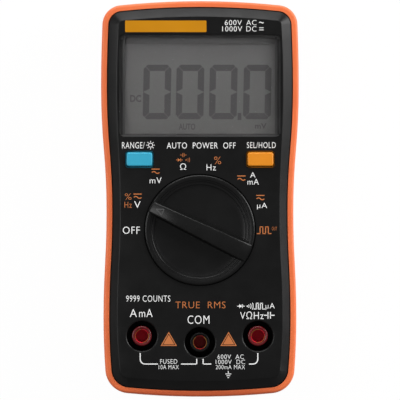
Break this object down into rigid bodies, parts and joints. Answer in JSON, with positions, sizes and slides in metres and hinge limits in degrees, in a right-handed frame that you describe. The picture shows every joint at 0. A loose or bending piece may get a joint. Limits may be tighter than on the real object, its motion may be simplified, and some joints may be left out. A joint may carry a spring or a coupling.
{
  "type": "digital multimeter",
  "caption": "Hand-held digital multimeter with a display window, rotary selector, push keys, shrouded test sockets, soft jacket and a folding tilt stand.",
  "frame": {"origin": "middle of the back face that the meter lies on", "axes": "+X to the right of the face, +Y towards the display end, +Z out of the face"},
  "size_m": [0.065, 0.13, 0.032],
  "materials": {
    "black_shell": "fine textured black ABS",
    "black_knob": "satin black moulded plastic",
    "orange_jacket": "smooth orange thermoplastic rubber",
    "clear_window": "clear acrylic window with a soft gloss",
    "adhesive": "black double-sided adhesive",
    "yellow_label": "printed yellow film",
    "lcd": "grey liquid-crystal glass with a dull polariser",
    "black_inner": "plain black moulded plastic",
    "zebra_rubber": "striped conductive silicone",
    "white_plastic": "white diffusing plastic",
    "light_guide": "clear acrylic light guide",
    "blue_key": "satin light-blue silicone rubber",
    "orange_key": "satin orange silicone rubber",
    "spring_brass": "bright spring brass",
    "steel": "zinc-plated steel",
    "board": "green solder mask over fibreglass",
    "component_ceramic": "fired chip components",
    "disc_blue": "blue dipped ceramic disc",
    "shunt_metal": "manganin resistance wire",
    "fuse_ceramic": "white ceramic fuse body",
    "nickel": "nickel plating",
    "red_sleeve": "dark red insulating plastic",
    "black_sleeve": "black insulating plastic",
    "brass": "turned brass",
    "cell_jacket": "plain dark shrink film over a steel can"
  },
  "bodies": {
    "case": {"front_shell": "black_shell", "front_bumper": "orange_jacket", "rear_shell": "black_shell", "rear_bumper": "orange_jacket", "display_window": "clear_window", "window_adhesive": "adhesive", "label_bar": "yellow_label", "lcd_glass": "lcd", "lcd_holder": "black_inner", "zebra_strip": "zebra_rubber", "light_diffuser": "white_plastic", "light_guide": "light_guide", "backlight_lamps": "white_plastic", "range_switch": "black_inner", "select_switch": "black_inner", "main_board": "board", "board_screws": "steel", "meter_chip": "black_inner", "buzzer": "black_inner", "crystal": "steel", "small_parts": "component_ceramic", "thermistors": "disc_blue", "current_shunt": "shunt_metal", "amp_fuse_tube": "fuse_ceramic", "amp_fuse_caps": "nickel", "amp_fuse_clips": "spring_brass", "milliamp_fuse_tube": "fuse_ceramic", "milliamp_fuse_caps": "nickel", "milliamp_fuse_clips": "spring_brass", "amp_jack_shroud": "black_inner", "com_jack_shroud": "black_inner", "volt_jack_shroud": "black_inner", "amp_jack_sleeve": "red_sleeve", "com_jack_sleeve": "black_sleeve", "volt_jack_sleeve": "red_sleeve", "amp_jack_contact": "brass", "com_jack_contact": "brass", "volt_jack_contact": "brass", "case_screws": "steel", "battery_door": "black_shell", "battery_door_screw": "steel", "upper_cell": "cell_jacket", "lower_cell": "cell_jacket", "battery_link": "nickel", "battery_terminals": "nickel", "upper_cell_spring": "nickel", "lower_cell_spring": "nickel"},
    "selector": {"selector_knob": "black_knob", "contact_carrier": "black_inner", "contact_fingers": "spring_brass", "detent_balls": "steel", "detent_springs": "steel", "knob_screw": "steel"},
    "range_key": {"range_key": "blue_key", "range_plunger": "black_inner"},
    "select_key": {"select_key": "orange_key", "select_plunger": "black_inner"},
    "stand": {"tilt_stand": "black_shell"}
  },
  "joints": [
    {"name": "selector_turn", "type": "hinge", "parent": "case", "child": "selector", "pos_m": [0, -0.0102, 0.024], "axis": [0, 0, 1], "range_deg": [-154.3, 25.7]},
    {"name": "range_press", "type": "slide", "parent": "case", "child": "range_key", "axis": [0, 0, -1], "range_m": [0, 0.0004], "stiffness_N_per_m": 2000},
    {"name": "select_press", "type": "slide", "parent": "case", "child": "select_key", "axis": [0, 0, -1], "range_m": [0, 0.0004], "stiffness_N_per_m": 2000},
    {"name": "stand_swing", "type": "hinge", "parent": "case", "child": "stand", "pos_m": [0, 0.034, 0.0016], "axis": [1, 0, 0], "range_deg": [0, 75]}
  ]
}
